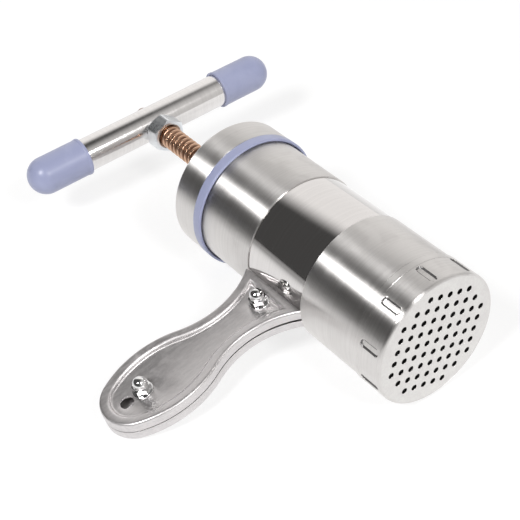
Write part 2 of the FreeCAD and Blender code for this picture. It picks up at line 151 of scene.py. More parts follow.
def sky_patch(tree, middle, edge, light):
    """Light from the directions that lie close to one direction."""
    ray = add_node(tree, "ShaderNodeTexCoord").outputs["Generated"]
    mask = ramp_node(tree, measure_node(tree, "DOT_PRODUCT", ray, middle), *edge)
    return math_node(tree, "MULTIPLY", mask, light)


world = bpy.data.worlds.new("studio")
scene.world = world
world.use_nodes = True
sky = world.node_tree
sky.nodes.clear()
patches = math_node(sky, "ADD", sky_patch(sky, **SWEEP), sky_patch(sky, **WALL))
room = math_node(sky, "ADD", patches, ROOM_LIGHT)
mirrored = add_node(sky, "ShaderNodeBackground", {"Color": ROOM_COLOUR, "Strength": room}).outputs[0]
seen = add_node(sky, "ShaderNodeBackground", {"Color": WHITE, "Strength": 1.0}).outputs[0]
to_camera = add_node(sky, "ShaderNodeLightPath").outputs["Is Camera Ray"]
choice = add_node(sky, "ShaderNodeMixShader", {0: to_camera, 1: mirrored, 2: seen})
add_node(sky, "ShaderNodeOutputWorld", {"Surface": choice.outputs[0]})
print("sky of", len(sky.nodes), "nodes")

# %% [markdown]
# ## Two lamps and the floor
# The two bright spots on the near grip are mirror images of two lamps, one on each side of
# the camera. Working back from where they show gives each lamp's direction. Round lamps of
# this size give a grip the same small highlights and the brushed steel its white streak.
# The floor is white cardboard. It keeps a soft shadow, but to the camera and to shiny
# surfaces it also glows a little, because the photograph is exposed until it is white. In
# the steel that glow ends a short way off on the handle's side, where the room is dark. Far
# from the press the camera sees the card as plain white, so that no horizon shows.

# %% Lamps and floor
LAMP_DISTANCE = 1.5
LAMP_SIZE = 0.38
LAMPS = {"left_lamp": ((0.173, -0.680, 0.712), 13.5), "right_lamp": ((0.729, -0.008, 0.685), 7.0)}
FLOOR_HEIGHT = -32.5 * MM
FLOOR_SIZE = 6.0
CARD_COLOUR = (0.86, 0.86, 0.86, 1.0)
BRIGHT_CARD_COLOUR = (0.36, 0.36, 0.36, 1.0)
CARD_GLOW = 0.70
GLOW_Y = -0.10
DIM_Y = -0.36
DIM_SHARE = 0.06
WHITE_START = 0.30
WHITE_END = 1.0

for lamp_name, (way, power) in LAMPS.items():
    lamp = bpy.data.objects.new(lamp_name, bpy.data.lights.new(lamp_name, "AREA"))
    scene.collection.objects.link(lamp)
    lamp.data.shape = "DISK"
    lamp.data.size = LAMP_SIZE
    lamp.data.energy = power
    lamp.location = Vector((AIM.x, 0, 0)) + Vector(way) * LAMP_DISTANCE
    lamp.rotation_mode = "QUATERNION"
    lamp.rotation_quaternion = (-Vector(way)).to_track_quat("-Z", "Y")
    lamp.visible_camera = False

card = bpy.data.materials.new("white_card")
card.use_nodes = True
tree = card.node_tree
tree.nodes.clear()
plain = add_node(tree, "ShaderNodeBsdfDiffuse", {"Color": CARD_COLOUR})
dull = add_node(tree, "ShaderNodeBsdfDiffuse", {"Color": BRIGHT_CARD_COLOUR})
place = add_node(tree, "ShaderNodeTexCoord").outputs["Object"]
path = add_node(tree, "ShaderNodeLightPath").outputs
near = ramp_node(tree, axis_node(tree, place, "Y"), DIM_Y, GLOW_Y, DIM_SHARE, 1.0)
far = ramp_node(tree, measure_node(tree, "LENGTH", place), WHITE_START, WHITE_END, CARD_GLOW, 1.0)
to_camera = math_node(tree, "MULTIPLY", far, path["Is Camera Ray"])
lit = math_node(tree, "MAXIMUM", math_node(tree, "MULTIPLY", near, CARD_GLOW), to_camera)
glow = add_node(tree, "ShaderNodeEmission", {"Color": WHITE, "Strength": lit})
glowing = add_node(tree, "ShaderNodeAddShader", {0: dull.outputs[0], 1: glow.outputs[0]})
seen = math_node(tree, "MAXIMUM", path["Is Camera Ray"], path["Is Glossy Ray"])
seen = math_node(tree, "MAXIMUM", seen, path["Is Transmission Ray"])
mixed = add_node(tree, "ShaderNodeMixShader", {0: seen, 1: plain.outputs[0], 2: glowing.outputs[0]})
add_node(tree, "ShaderNodeOutputMaterial", {"Surface": mixed.outputs[0]})

sheet = bmesh.new()
bmesh.ops.create_grid(sheet, x_segments=1, y_segments=1, size=FLOOR_SIZE / 2,
                      matrix=Matrix.Translation((AIM.x, 0, FLOOR_HEIGHT)))
floor = bpy.data.objects.new("floor", bpy.data.meshes.new("floor"))
sheet.to_mesh(floor.data)
sheet.free()
floor.data.materials.append(card)
scene.collection.objects.link(floor)
print("floor at", FLOOR_HEIGHT, "with", len(LAMPS), "lamps")

# %% [markdown]
# ## Effects that several finishes share
# Brushed metal has fine lines that run one way. A noise texture gives them when its space
# is squeezed: high numbers across the lines, low numbers along them. Handling leaves faint
# large smudges, which are the same noise at a large scale with more contrast. Each effect
# is a node group, so a finish can use it with its own numbers.

# %% Node groups: brush marks and smudges
def new_group(name, inputs, outputs):
    """An empty shader node group with named sockets."""
    group = bpy.data.node_groups.new(name, "ShaderNodeTree")
    for direction, sockets in (("INPUT", inputs), ("OUTPUT", outputs)):
        for socket_name, kind in sockets.items():
            group.interface.new_socket(socket_name, in_out=direction, socket_type=kind)
    return group, add_node(group, "NodeGroupInput").outputs, add_node(group, "NodeGroupOutput").inputs


FLOAT, VECTOR = "NodeSocketFloat", "NodeSocketVector"
BROAD_LINES = 0.23
LINE_CONTRAST = (0.7, 1.3)
SMUDGE_EDGE = (0.46, 0.68)

brush_marks, given, result = new_group("brush_marks", {"Place": VECTOR, "Squeeze": VECTOR}, {"Lines": FLOAT})
squeezed = vector_node(brush_marks, "MULTIPLY", given["Place"], given["Squeeze"])
fine = noise_node(brush_marks, squeezed, 1.0, Roughness=0.6)
both = math_node(brush_marks, "ADD", fine, noise_node(brush_marks, squeezed, BROAD_LINES))
brush_marks.links.new(ramp_node(brush_marks, both, *LINE_CONTRAST), result["Lines"])

smudges, given, result = new_group("smudges", {"Place": VECTOR, "Size": FLOAT}, {"Mask": FLOAT})
cells = math_node(smudges, "DIVIDE", 1.0, given["Size"])
cloud = noise_node(smudges, given["Place"], cells, 3.0, Distortion=0.8)
smudges.links.new(ramp_node(smudges, cloud, *SMUDGE_EDGE), result["Mask"])
print("groups:", brush_marks.name, smudges.name)

# %% [markdown]
# ## Metals
# All the metals are one recipe: a colour that brush lines shade a little, a roughness that
# the lines and smudges shift, and a very shallow relief. Turned parts are brushed round
# their axis, which stretches every highlight along it. The shader's anisotropy does that
# once it is told which way is round: the Tangent node's radial direction about one axis.

# %% Helper: a metal finish
QUARTER_TURN = 0.25
METAL_SMUDGE = 9 * MM


def group_node(tree, group, inputs):
    """The outputs of a node group placed in a material."""
    return add_node(tree, "ShaderNodeGroup", inputs, node_tree=group).outputs


def shaded(tree, mask, dark, light):
    """A colour between two, chosen by a mask."""
    inputs = {0: mask, 6: (*dark, 1.0), 7: (*light, 1.0)}
    return add_node(tree, "ShaderNodeMix", inputs, data_type="RGBA").outputs[2]


def new_finish(name):
    """An empty material with its shader, and the place of each point on the piece."""
    finish = bpy.data.materials.new(name)
    finish.use_nodes = True
    nodes = finish.node_tree.nodes
    place = add_node(finish.node_tree, "ShaderNodeTexCoord").outputs["Object"]
    return finish, finish.node_tree, nodes["Principled BSDF"], place


def relief(tree, shader, height, depth):
    """A shallow relief, its depth in millimetres."""
    bump = add_node(tree, "ShaderNodeBump", {"Height": height, "Distance": depth * MM, "Strength": 1.0})
    tree.links.new(bump.outputs["Normal"], shader.inputs["Normal"])


def metal(name, dark, light, squeeze, roughness, line_shift, depth=0.0, smudge_shift=0.05,
          stretch=0.0, around="X"):
    """A bare metal with brush lines, smudges, and highlights stretched along its axis."""
    finish, tree, shader, place = new_finish(name)
    lines = group_node(tree, brush_marks, {"Place": place, "Squeeze": squeeze})["Lines"]
    mask = group_node(tree, smudges, {"Place": place, "Size": METAL_SMUDGE})["Mask"]
    tree.links.new(shaded(tree, lines, dark, light), shader.inputs["Base Color"])
    rough = math_node(tree, "MULTIPLY_ADD", lines, line_shift, roughness - line_shift / 2)
    rough = math_node(tree, "MULTIPLY_ADD", mask, smudge_shift, rough)
    tree.links.new(rough, shader.inputs["Roughness"])
    shader.inputs["Metallic"].default_value = 1.0
    if depth:
        relief(tree, shader, lines, depth)
    if stretch:
        shader.inputs["Anisotropic"].default_value = stretch
        shader.inputs["Anisotropic Rotation"].default_value = QUARTER_TURN
        way = add_node(tree, "ShaderNodeTangent", direction_type="RADIAL", axis=around)
        tree.links.new(way.outputs[0], shader.inputs["Tangent"])
    return finish


print("metal recipe ready")

# %% [markdown]
# ## The finishes of the press
# The sleeves, the cap and the mould are brushed round the barrel. The band between the
# sleeves and the T-handle's tube are polished. The side handle is pressed from sheet with a
# satin grain along it, and the cap's back has a duller one. The nuts are plated: zinc on
# the large one, bright nickel on the two domed ones. Hidden parts are plain turned steel.
# The walls of the mould's holes and the sides of its crimps are coloured dark as painted shade.

# %% Metal finishes
ROUND_X = (5200.0, 34.0, 34.0)
ROUND_Y = (60.0, 3000.0, 60.0)
ALONG_HANDLE = (3400.0, 70.0, 3400.0)
NO_GRAIN = (900.0, 900.0, 900.0)

brushed_steel = metal("brushed_steel", (0.72, 0.70, 0.685), (0.79, 0.77, 0.755), ROUND_X,
                      roughness=0.36, line_shift=0.05, depth=0.0015, stretch=1.0)
face_steel = metal("face_steel", (0.68, 0.66, 0.65), (0.74, 0.73, 0.71), NO_GRAIN,
                   roughness=0.34, line_shift=0.05, depth=0.002)
mirror_steel = metal("mirror_steel", (0.66, 0.64, 0.63), (0.70, 0.68, 0.67), ROUND_X,
                     roughness=0.07, line_shift=0.02, smudge_shift=0.03)
tube_steel = metal("tube_steel", (0.74, 0.72, 0.71), (0.79, 0.77, 0.76), ROUND_Y,
                   roughness=0.16, line_shift=0.03, smudge_shift=0.03, stretch=0.8, around="Y")
satin_steel = metal("satin_steel", (0.50, 0.485, 0.485), (0.60, 0.585, 0.585), ALONG_HANDLE,
                    roughness=0.34, line_shift=0.06, depth=0.003)
handle_steel = metal("handle_steel", (0.64, 0.62, 0.62), (0.74, 0.715, 0.715), ALONG_HANDLE,
                     roughness=0.40, line_shift=0.06, depth=0.003)
raw_steel = metal("raw_steel", (0.50, 0.50, 0.50), (0.62, 0.61, 0.60), ROUND_X,
                  roughness=0.36, line_shift=0.10, depth=0.006)
zinc = metal("zinc", (0.74, 0.77, 0.80), (0.86, 0.88, 0.90), NO_GRAIN,
             roughness=0.32, line_shift=0.12, depth=0.004)
# Painted shade: a near-black steel for the walls of the mould's holes.
hole_shade_steel = metal("hole_shade_steel", (0.05, 0.05, 0.05), (0.09, 0.09, 0.09), NO_GRAIN,
                      roughness=0.55, line_shift=0.05)
# Painted shade: a dark steel for the steep sides of the crimps.
crimp_shade_steel = metal("crimp_shade_steel", (0.16, 0.155, 0.155), (0.24, 0.235, 0.235), NO_GRAIN,
                    roughness=0.45, line_shift=0.05)
nickel = metal("bright_nickel", (0.78, 0.78, 0.79), (0.84, 0.84, 0.83), NO_GRAIN,
               roughness=0.06, line_shift=0.03)
print("metals made, the first is", brushed_steel.name, "and the last", nickel.name)

# %% [markdown]
# The handle's panel is dark on one side and bright on the other, as a flat sheet never is:
# it is a little hollow across its width. A second Bump node says so. Its height is the
# square of the distance from the handle's middle, and the grain's own relief lies on top.

# %% Hollow panel of the side handle
HANDLE_X = -68.7
HOLLOW_HALF_WIDTH = 10.0
HOLLOW_DEPTH = 0.7

tree = handle_steel.node_tree
grain = tree.nodes["Principled BSDF"].inputs["Normal"].links[0].from_node
place = add_node(tree, "ShaderNodeTexCoord").outputs["Object"]
aside = math_node(tree, "SUBTRACT", axis_node(tree, place, "X"), HANDLE_X * MM)
aside = math_node(tree, "DIVIDE", aside, HOLLOW_HALF_WIDTH * MM)
height = math_node(tree, "MULTIPLY", aside, aside)
hollow = add_node(tree, "ShaderNodeBump", {"Height": height, "Distance": HOLLOW_DEPTH * MM})
tree.links.new(hollow.outputs["Normal"], grain.inputs["Normal"])
print("the panel rises", HOLLOW_DEPTH, "mm in", HOLLOW_HALF_WIDTH, "mm")

# %% [markdown]
# The screw is plated the colour of bronze. The bottom of its thread is coloured dark as
# painted shade, and the crests keep the plain colour. The distance from the screw's own axis tells the
# two apart, so one mask shades colour and roughness together.

# %% Bronze finish of the screw
THREAD_ROOT_R = 4.35
THREAD_CREST_R = 5.6
ROOT_SHADE_MARGIN = 0.2
CREST_MARGIN = 0.1
THREAD_GRAIN = (2400.0, 160.0, 160.0)
# Painted shade: the dark colour at the bottom of the thread, and the plain bronze of the crests.
SHADED_ROOT_COLOUR = (0.15, 0.075, 0.045)
CREST_COLOUR = (0.76, 0.49, 0.34)
SHADED_ROOT_ROUGHNESS = 0.50
CREST_ROUGHNESS = 0.22
LINE_SHARE = 0.35
BRONZE_RELIEF = 0.006

bronze, tree, shader, place = new_finish("bronze")
across = vector_node(tree, "MULTIPLY", place, (0.0, 1.0, 1.0))
reach = measure_node(tree, "LENGTH", across)
crest = ramp_node(tree, reach, (THREAD_ROOT_R + ROOT_SHADE_MARGIN) * MM, (THREAD_CREST_R - CREST_MARGIN) * MM)
lines = group_node(tree, brush_marks, {"Place": place, "Squeeze": THREAD_GRAIN})["Lines"]
crest = math_node(tree, "MULTIPLY", crest, 1 - LINE_SHARE)
crest_and_grain = math_node(tree, "MULTIPLY_ADD", lines, LINE_SHARE, crest)
tree.links.new(shaded(tree, crest_and_grain, SHADED_ROOT_COLOUR, CREST_COLOUR), shader.inputs["Base Color"])
rough = ramp_node(tree, crest_and_grain, 0.0, 1.0, SHADED_ROOT_ROUGHNESS, CREST_ROUGHNESS)
tree.links.new(rough, shader.inputs["Roughness"])
shader.inputs["Metallic"].default_value = 1.0
relief(tree, shader, lines, BRONZE_RELIEF)
print("bronze darkens below", THREAD_ROOT_R + ROOT_SHADE_MARGIN, "mm")

# %% [markdown]
# ## Plastics
# The ring under the cap and the two grips are the same lilac-grey plastic with a satin
# skin. A moulded skin isn't perfectly flat: a fine noise in its relief and roughness keeps
# the highlights soft, and a broad one shifts the colour a little.

# %% Plastic finishes
SKIN_SCALE = 1800.0
SKIN_SHIFT = 0.08
PLASTIC_SMUDGE = 16 * MM


def plastic(name, dark, light, roughness, depth):
    """A moulded plastic with a fine skin and slow shifts of colour."""
    finish, tree, shader, place = new_finish(name)
    skin = noise_node(tree, place, SKIN_SCALE)
    mask = group_node(tree, smudges, {"Place": place, "Size": PLASTIC_SMUDGE})["Mask"]
    tree.links.new(shaded(tree, mask, dark, light), shader.inputs["Base Color"])
    rough = math_node(tree, "MULTIPLY_ADD", skin, SKIN_SHIFT, roughness - SKIN_SHIFT / 2)
    tree.links.new(rough, shader.inputs["Roughness"])
    relief(tree, shader, skin, depth)
    return finish


lilac = plastic("lilac_plastic", (0.335, 0.36, 0.53), (0.36, 0.385, 0.555), 0.33, 0.004)
nylon = plastic("white_nylon", (0.74, 0.74, 0.70), (0.80, 0.80, 0.77), 0.42, 0.006)
print("plastics:", lilac.name, nylon.name)

# %% [markdown]
# ## Turned parts
# Nearly every part of the barrel is a shape of revolution. It could start as a cylinder
# that is cut and bevelled, but a lathe is closer to how it is made: draw half of its
# section, round the corners that are round, and spin the line about the axis. Spin slows
# down with many steps, so it makes a short sector, which is doubled until the ring is full.
# Sections are drawn in millimetres along X and scaled to metres when the piece is finished.

# %% Helpers: lathe and finished pieces
AROUND = 192
LONGEST_SPIN = 18
CORNER_STEPS = 4
STEPS_PER_MM = 2
SHARP_ANGLE = math.radians(32)
AXIS = (1.0, 0.0, 0.0)
WELD = 1e-4


def draw_line(bm, corners, closed):
    """A wire through (x, r) or (x, r, rounding) corners, with its corners rounded."""
    points = [bm.verts.new((corner[0], 0, corner[1])) for corner in corners]
    for i in range(len(points) if closed else len(points) - 1):
        bm.edges.new((points[i], points[(i + 1) % len(points)]))
    for point, corner in zip(points, corners):
        if len(corner) > 2:
            steps = CORNER_STEPS + int(STEPS_PER_MM * corner[2])
            bmesh.ops.bevel(bm, geom=[point], offset=corner[2], offset_type="OFFSET", segments=steps,
                            profile=0.5, affect="VERTICES", material=-1)


def only(kind, items):
    """The points, edges or faces among some items."""
    return [item for item in items if isinstance(item, kind)]


def double_up(bm, copies, step):
    """At least this many copies of everything, each one step further than the last."""
    while copies > 1:
        made = bmesh.ops.duplicate(bm, geom=bm.verts[:] + bm.edges[:] + bm.faces[:])["geom"]
        bmesh.ops.transform(bm, matrix=step, verts=only(BMVert, made))
        step = step @ step
        copies /= 2


def close_up(bm, dist=WELD):
    """Weld points that meet and turn every face outwards."""
    bmesh.ops.remove_doubles(bm, verts=bm.verts, dist=dist)
    bmesh.ops.recalc_face_normals(bm, faces=bm.faces)
    return bm


def lathe(corners, steps=AROUND, closed=True):
    """Half a section in millimetres, spun about the X axis. A section that starts and
    ends on the axis is drawn open."""
    bm = bmesh.new()
    draw_line(bm, corners, closed)
    sector = steps
    while sector % 2 == 0 and sector > LONGEST_SPIN:
        sector //= 2
    angle = math.tau * sector / steps
    bmesh.ops.spin(bm, geom=bm.verts[:] + bm.edges[:], cent=(0, 0, 0), axis=AXIS, dvec=(0, 0, 0),
                   angle=angle, steps=sector)
    double_up(bm, steps / sector, Matrix.Rotation(angle, 4, "X"))
    return close_up(bm)


def add_into(bm, other, place=Matrix()):
    """Put the points and faces of one bmesh into another, at a place of their own."""
    bmesh.ops.transform(other, matrix=place, verts=other.verts)
    carrier = bpy.data.meshes.new("carrier")
    other.to_mesh(carrier)
    other.free()
    bm.from_mesh(carrier)
    bpy.data.meshes.remove(carrier)


def finish_piece(name, bm, finish, body, node, place=None):
    """A mesh object from a bmesh in millimetres, riding on its CAD body."""
    if place:
        bmesh.ops.transform(bm, matrix=place, verts=bm.verts)
    bmesh.ops.scale(bm, vec=(MM, MM, MM), verts=bm.verts)
    piece = bpy.data.objects.new(name, bpy.data.meshes.new(name))
    bm.to_mesh(piece.data)
    open_edges = sum(1 for edge in bm.edges if len(edge.link_faces) != 2)
    bm.free()
    piece.data.materials.append(finish)
    piece.data.shade_smooth()
    piece.data.set_sharp_from_angle(angle=SHARP_ANGLE)
    scene.collection.objects.link(piece)
    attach(piece, body)
    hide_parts(node)
    print(f"{name}: {len(piece.data.polygons)} faces, {open_edges} open edges")
    return piece


# %% [markdown]
# ## The barrel's skins
# A polished tube runs the barrel's whole length. Two brushed sleeves are pressed over its
# ends, and their eased edges catch a thin line of light. The mould is a little wider than
# they are. The rings that centre the inner cylinder stay as they are in the frame, because
# nothing shows of them.

# %% Polished band and brushed sleeves
MOULD_BACK = -16.1
SLEEVE_FRONT = -16.4
BAND_FRONT = -49.5
BAND_BACK = -85.8
SHELL_BACK = -121.9
SLEEVE_R = 30.6
MOULD_R = 31.0
BAND_R = 30.1
SHEET = 0.8
EASED = 0.3
TUBE_EASED = 0.2

band = lathe([(SHELL_BACK, BAND_R - SHEET), (SLEEVE_FRONT, BAND_R - SHEET),
              (SLEEVE_FRONT, BAND_R, TUBE_EASED), (SHELL_BACK, BAND_R, TUBE_EASED)])
finish_piece("polished_band", band, mirror_steel, "barrel", "barrel_shell")


def sleeve(back, front):
    """A sleeve with eased edges."""
    return lathe([(back, BAND_R), (front, BAND_R), (front, SLEEVE_R, EASED), (back, SLEEVE_R, EASED)])


for side, back, front in (("lower", BAND_FRONT, SLEEVE_FRONT), ("upper", SHELL_BACK, BAND_BACK)):
    finish_piece(side + "_brushed_sleeve", sleeve(back, front), brushed_steel, "barrel",
                 side + "_sleeve")

# %% [markdown]
# ## The dough cylinder and its rolled threads
# The mould and the cap screw onto the inner cylinder, whose ends have rolled threads: wide,
# shallow waves in the sheet. They show when the press is taken apart. The wall gets close
# rows of points there, and each point moves out by how near it is to the helix's crest.

# %% Dough cylinder
CYLINDER_INNER_R = 27.0
CYLINDER_R = 28.0
CYLINDER_FRONT = -1.4
CYLINDER_BACK = -134.0
THREAD_PITCH = 4.0
THREAD_HEIGHT = 0.5
LOWER_THREAD = (-14.5, -2.6)
UPPER_THREAD = (-132.8, -122.5)
ROW_GAP = 0.4


def rows(start, end, r, gap=ROW_GAP):
    """Close corners along a straight wall."""
    count = max(2, round(abs(end - start) / gap))
    return [(start + (end - start) * i / count, r) for i in range(count + 1)]


def reach_of(vert):
    """A point's distance from the barrel's axis."""
    return math.hypot(vert.co.y, vert.co.z)


def roll_thread(bm, ends, wall_r, height):
    """Move the points of a wall out along a helix. It fades in and out over one turn."""
    for vert in bm.verts:
        reach = reach_of(vert)
        inside = min(vert.co.x - ends[0], ends[1] - vert.co.x)
        if inside <= 0 or abs(reach - wall_r) > WELD * 10:
            continue
        turn = vert.co.x / THREAD_PITCH - math.atan2(vert.co.z, vert.co.y) / math.tau
        wave = (0.5 + 0.5 * math.cos(math.tau * turn)) ** 1.5 * height * min(1.0, inside / THREAD_PITCH)
        vert.co.yz = vert.co.yz * (1 + wave / reach)


section = [(CYLINDER_BACK, CYLINDER_INNER_R), (CYLINDER_FRONT, CYLINDER_INNER_R)]
section += rows(CYLINDER_FRONT, LOWER_THREAD[0], CYLINDER_R)
section += rows(UPPER_THREAD[1], CYLINDER_BACK, CYLINDER_R)
cylinder = lathe(section)
roll_thread(cylinder, LOWER_THREAD, CYLINDER_R, THREAD_HEIGHT)
roll_thread(cylinder, UPPER_THREAD, CYLINDER_R, THREAD_HEIGHT)
finish_piece("threaded_cylinder", cylinder, raw_steel, "barrel", "dough_cylinder")

# %% [markdown]
# ## The mould
# The mould is a cup drawn from sheet, with a square grid of holes clipped to a circle in
# its floor. The front is filled between the rim's circle and the holes' circles, the holes'
# edges are extruded back through the sheet, and the wall is a lathe that meets the same
# points. Ten crimps hold its plastic ring: the wall's points near a crimp sink inwards,
# which needs a finer lathe than the other parts.

# %% Mould floor with its holes
MOULD_AROUND = 540
FLOOR_R = 29.7
FLOOR_THICKNESS = 1.0
HOLE_R = 1.38
HOLE_EASE = 0.06
HOLE_SIDES = 20
HOLE_PITCH = 5.5
HOLE_FIELD_R = 25.4
HOLE_GRID_TURN = math.radians(-15.2)
FACING_X = Matrix.Rotation(math.pi / 2, 4, "Y")


def hole_centres():
    """Centres of the holes, as (y, z), in a square grid clipped to a circle."""
    reach = int(HOLE_FIELD_R / HOLE_PITCH) + 1
    grid = [Vector((column, row)) * HOLE_PITCH
            for row in range(-reach, reach + 1) for column in range(-reach, reach + 1)]
    return [point @ Matrix.Rotation(-HOLE_GRID_TURN, 2) for point in grid if point.length <= HOLE_FIELD_R]


def circle(bm, x, y, z, r, sides):
    """A ring of points that faces along X."""
    matrix = Matrix.Translation((x, y, z)) @ FACING_X
    return bmesh.ops.create_circle(bm, cap_ends=False, radius=r, segments=sides, matrix=matrix)["verts"]


def edges_of(verts):
    """Edges that join the points of a ring."""
    chosen = set(verts)
    return list({edge for vert in verts for edge in vert.link_edges if edge.other_vert(vert) in chosen})


centres = hole_centres()
mould = bmesh.new()
hole_points = [vert for y, z in centres for vert in circle(mould, 0, y, z, HOLE_R + HOLE_EASE, HOLE_SIDES)]
rim_points = circle(mould, 0, 0, 0, FLOOR_R, MOULD_AROUND)
hole_edges = edges_of(hole_points)
bmesh.ops.triangle_fill(mould, use_beauty=True, edges=hole_edges + edges_of(rim_points), normal=AXIS)

for x, r in ((-HOLE_EASE, HOLE_R), (-FLOOR_THICKNESS, HOLE_R)):
    made = bmesh.ops.extrude_edge_only(mould, edges=hole_edges)["geom"]
    hole_edges = only(BMEdge, made)
    for vert in only(BMVert, made):
        near = min(centres, key=lambda centre: (Vector(vert.co.yz) - centre).length_squared)
        out = (Vector(vert.co.yz) - near).normalized() * r
        vert.co = (x, near.x + out.x, near.y + out.y)
back_rim = circle(mould, -FLOOR_THICKNESS, 0, 0, FLOOR_R, MOULD_AROUND)
bmesh.ops.triangle_fill(mould, use_beauty=True, edges=hole_edges + edges_of(back_rim), normal=AXIS)
print("mould floor:", len(centres), "holes,", len(mould.faces), "faces")

# %% [markdown]
# The crimps are rounded slots. A point's distance from the slot's outline says how far it
# sinks: not at all outside, to the full depth a little inside, and smoothly between. Just
# behind them a fine groove runs round the wall.

# %% Mould wall with its crimps
MOULD_INNER_R = MOULD_R - SHEET
RIM_ROUNDING = 1.3
CRIMP_COUNT = 10
CRIMP_FIRST = math.radians(16.0)
CRIMP_MIDDLE = -7.0
CRIMP_HALF_LENGTH = 5.1
CRIMP_HALF_WIDTH = 1.65
CRIMP_CORNER = 1.4
CRIMP_DEPTH = 0.62
CRIMP_EDGE = 0.5
CRIMP_ROW_GAP = 0.3
CRIMP_BACK = -12.4
GROOVE_X = -12.9
GROOVE_HALF_WIDTH = 0.2
WALL_GROOVE_DEPTH = 0.14
SEAM_WELD = 0.02


def crimp_sink(x, angle, r):
    """How far the wall sinks at one point."""
    step = math.tau / CRIMP_COUNT
    away_turn = (angle - math.pi + CRIMP_FIRST + step / 2) % step - step / 2
    dx = abs(x - CRIMP_MIDDLE) - CRIMP_HALF_LENGTH + CRIMP_CORNER
    dy = abs(away_turn) * r - CRIMP_HALF_WIDTH + CRIMP_CORNER
    outside = math.hypot(max(dx, 0), max(dy, 0)) + min(max(dx, dy), 0) - CRIMP_CORNER
    share = min(1.0, max(0.0, -outside / CRIMP_EDGE))
    return CRIMP_DEPTH * share * share * (3 - 2 * share)


def press_crimps(bm, from_r):
    """Sink the points of a wall that lie on or outside one radius where a crimp is."""
    for vert in bm.verts:
        reach = reach_of(vert)
        if reach > from_r and vert.co.x < -RIM_ROUNDING:
            sink = crimp_sink(vert.co.x, math.atan2(vert.co.z, vert.co.y), reach)
            vert.co.yz = vert.co.yz * (1 - sink / reach)


section = [(0, FLOOR_R), (0, MOULD_R, RIM_ROUNDING - 0.01)]
section += rows(-RIM_ROUNDING - 0.1, CRIMP_BACK, MOULD_R, CRIMP_ROW_GAP)
section += [(GROOVE_X + GROOVE_HALF_WIDTH, MOULD_R), (GROOVE_X, MOULD_R - WALL_GROOVE_DEPTH),
            (GROOVE_X - GROOVE_HALF_WIDTH, MOULD_R)]
section += [(MOULD_BACK, MOULD_R), (MOULD_BACK, MOULD_INNER_R)]
section += rows(CRIMP_BACK, -RIM_ROUNDING - 0.6, MOULD_INNER_R, 2 * CRIMP_ROW_GAP)
section += [(-FLOOR_THICKNESS, MOULD_INNER_R, 0.35), (-FLOOR_THICKNESS, FLOOR_R)]
add_into(mould, lathe(section, MOULD_AROUND, closed=False))
close_up(mould, SEAM_WELD)
press_crimps(mould, MOULD_INNER_R - WELD)
mould_piece = finish_piece("perforated_mould", mould, brushed_steel, "mould", "mould_cup")

# %% [markdown]
# Brush lines round the wall would be wrong on the mould's face, which is flat and dull. The
# walls of its holes and the steep sides of the crimps are coloured dark as painted shade.
# All are faces of the same piece, so it gets three more finishes, chosen face by face.

# %% Finishes of the mould's face, holes and crimps
CRIMP_SLOPE = 0.85
ON_WALL, ON_FACE, ON_HOLE, ON_CRIMP = range(4)

for finish in (face_steel, hole_shade_steel, crimp_shade_steel):
    mould_piece.data.materials.append(finish)
for polygon in mould_piece.data.polygons:
    out = polygon.center.yz
    if out.length < FLOOR_R * MM:
        polygon.material_index = ON_FACE if abs(polygon.normal.x) > 0.5 else ON_HOLE
    elif out.length > (MOULD_R - CRIMP_DEPTH) * MM:
        beside_rim = CRIMP_BACK * MM < polygon.center.x < -RIM_ROUNDING * MM
        steep = abs(polygon.normal.yz.dot(out.normalized())) < CRIMP_SLOPE
        polygon.material_index = ON_CRIMP if beside_rim and steep else ON_WALL
print("mould finishes:", [finish.name for finish in mould_piece.data.materials])

# %% [markdown]
# Inside the cup sits the moulded ring that screws onto the cylinder. Its thread is the
# cylinder's wave turned round: grooves that sink into the ring, so that the two never
# touch. Its outside sinks where the crimps hold it.

# %% Mould's thread ring
THREAD_CLEAR_R = 28.7
GROOVE_DEPTH = 0.4
RING_AROUND = 180
RING_END = -1.6
RING_PLAY = 0.05

ring_rows = rows(RING_END, MOULD_BACK + 0.4, MOULD_INNER_R - RING_PLAY)
section = ring_rows + [(x, THREAD_CLEAR_R) for x, _ in reversed(ring_rows)]
mould_ring = lathe(section, RING_AROUND)
roll_thread(mould_ring, (MOULD_BACK, RING_END), THREAD_CLEAR_R, GROOVE_DEPTH)
press_crimps(mould_ring, MOULD_INNER_R - 2 * RING_PLAY)
finish_piece("mould_ring_thread", mould_ring, nylon, "mould", "mould_thread_ring")

# %% [markdown]
# ## The cap, its lilac ring and the lead nut
# The cap is drawn like the mould, with a rounder edge and a dull back. The lilac ring below
# it is pressed inside: only its flange shows, standing a little off the sleeve, so a dark
# gap follows it. The lead nut is swaged over the cap's hole, and the screw runs through it.

# %% Cap, ring and lead nut
RING_FRONT = -119.5
CAP_FRONT = -124.5
CAP_BACK = -140.0
CAP_R = 32.5
NUT_HOLE_R = 8.0
FLANGE_R = 32.6
FLANGE_MOUTH_R = 31.45
COLLAR_BACK = -136.8
WEB_FRONT = -122.7
COLLAR_R = CAP_R - SHEET - 0.02
LEAD_BORE_R = 5.65
SWAGE_BACK = -141.4
SWAGE_R = 9.6
FOOT_FRONT = -137.2
FOOT_R = 14.0
BUSH_FRONT = -129.2
BUSH_R = 9.0

cap = lathe([(CAP_FRONT, CAP_R, 0.3), (CAP_BACK, CAP_R, 1.8), (CAP_BACK, NUT_HOLE_R),
             (CAP_BACK + SHEET, NUT_HOLE_R), (CAP_BACK + SHEET, CAP_R - SHEET, 0.9),
             (CAP_FRONT, CAP_R - SHEET)])
cap_piece = finish_piece("brushed_cap", cap, brushed_steel, "cap", "top_cap")
cap_piece.data.materials.append(satin_steel)
for polygon in cap_piece.data.polygons:
    polygon.material_index = 1 if polygon.normal.x < -0.9 else 0

